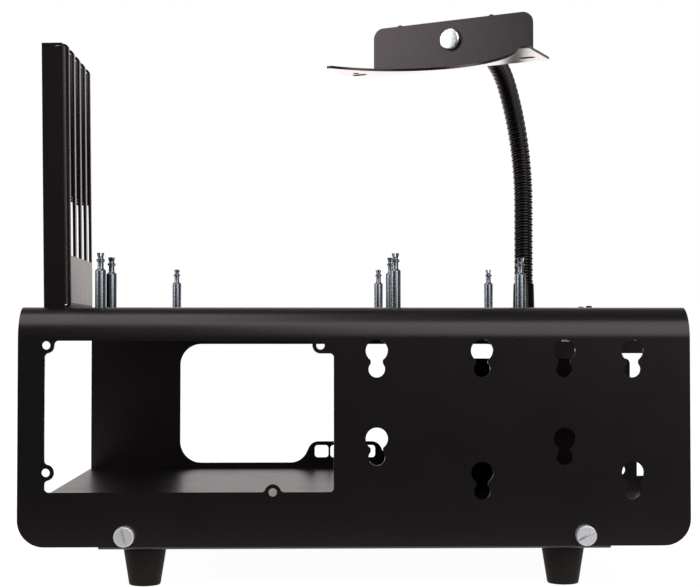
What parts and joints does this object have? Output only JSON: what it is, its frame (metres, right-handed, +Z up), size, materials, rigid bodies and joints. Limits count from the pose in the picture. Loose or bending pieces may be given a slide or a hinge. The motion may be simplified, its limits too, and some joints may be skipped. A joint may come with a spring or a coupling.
{
  "type": "open air test bench",
  "caption": "Open bench of folded black sheet steel for a computer main board, with a card bracket, standoffs, rubber feet and a fan bracket on a flexible arm.",
  "frame": {"origin": "on the ground under the middle of the bench", "axes": "+Z up, +X along the long side with the card bracket at -X, the power supply wall faces -Y"},
  "size_m": [0.34, 0.282, 0.3048],
  "materials": {
    "powder_coat_black": "satin powder coat on folded sheet steel",
    "rubber_black": "moulded rubber",
    "zinc_plated_steel": "bright zinc plating on turned steel",
    "gooseneck_black": "satin black coating on a wound steel coil",
    "ferrule_black": "satin black coating on turned metal",
    "button_black": "moulded plastic",
    "switch_plastic": "moulded plastic",
    "circuit_board": "green solder mask on glass fibre"
  },
  "bodies": {
    "bench": {"top_shell": "powder_coat_black", "base_tray": "powder_coat_black", "card_bracket": "powder_coat_black", "drive_plate": "powder_coat_black", "button_hanger": "powder_coat_black", "power_switch_case": "switch_plastic", "reset_switch_case": "switch_plastic", "button_header": "switch_plastic", "button_board": "circuit_board", "foot_front_left": "rubber_black", "thumbscrew_front_left": "zinc_plated_steel", "foot_front_right": "rubber_black", "thumbscrew_front_right": "zinc_plated_steel", "foot_rear_left": "rubber_black", "thumbscrew_rear_left": "zinc_plated_steel", "foot_rear_right": "rubber_black", "thumbscrew_rear_right": "zinc_plated_steel", "standoff_front_left": "zinc_plated_steel", "standoff_front_centre": "zinc_plated_steel", "standoff_middle_left": "zinc_plated_steel", "standoff_middle_centre": "zinc_plated_steel", "standoff_middle_right": "zinc_plated_steel", "standoff_rear_left": "zinc_plated_steel", "standoff_rear_centre": "zinc_plated_steel", "standoff_rear_right": "zinc_plated_steel", "foot_screws": "zinc_plated_steel", "foot_nuts": "zinc_plated_steel", "press_nuts": "zinc_plated_steel", "standoff_nuts": "zinc_plated_steel", "card_bracket_screws": "zinc_plated_steel", "card_bracket_nuts": "zinc_plated_steel", "drive_plate_screws": "zinc_plated_steel", "drive_plate_nuts": "zinc_plated_steel", "button_hanger_studs": "zinc_plated_steel", "button_hanger_nuts": "zinc_plated_steel"},
    "arm": {"arm_base_ferrule": "ferrule_black", "arm_washer": "zinc_plated_steel", "arm_nut": "zinc_plated_steel", "gooseneck_tube": "gooseneck_black", "arm_end_ferrule": "ferrule_black"},
    "fan_holder": {"fan_bracket": "powder_coat_black", "fan_thumbscrew": "zinc_plated_steel"},
    "power_button": {"power_button": "button_black"},
    "reset_button": {"reset_button": "button_black"}
  },
  "joints": [
    {"name": "arm_turn", "type": "hinge", "parent": "bench", "child": "arm", "pos_m": [0.1064, 0.0203, 0.1425], "axis": [0, 0, 1], "range_deg": [-90, 90]},
    {"name": "fan_bracket_tilt", "type": "hinge", "parent": "arm", "child": "fan_holder", "pos_m": [0.05533, -0.05745, 0.29336], "axis": [-0.549, -0.8358, 0], "range_deg": [-90, 90]},
    {"name": "power_button_press", "type": "slide", "parent": "bench", "child": "power_button", "axis": [0, 0, -1], "range_m": [0, 0.0005], "stiffness_N_per_m": 600, "springref_m": -0.0005},
    {"name": "reset_button_press", "type": "slide", "parent": "bench", "child": "reset_button", "axis": [0, 0, -1], "range_m": [0, 0.0005], "stiffness_N_per_m": 600, "springref_m": -0.0005}
  ]
}
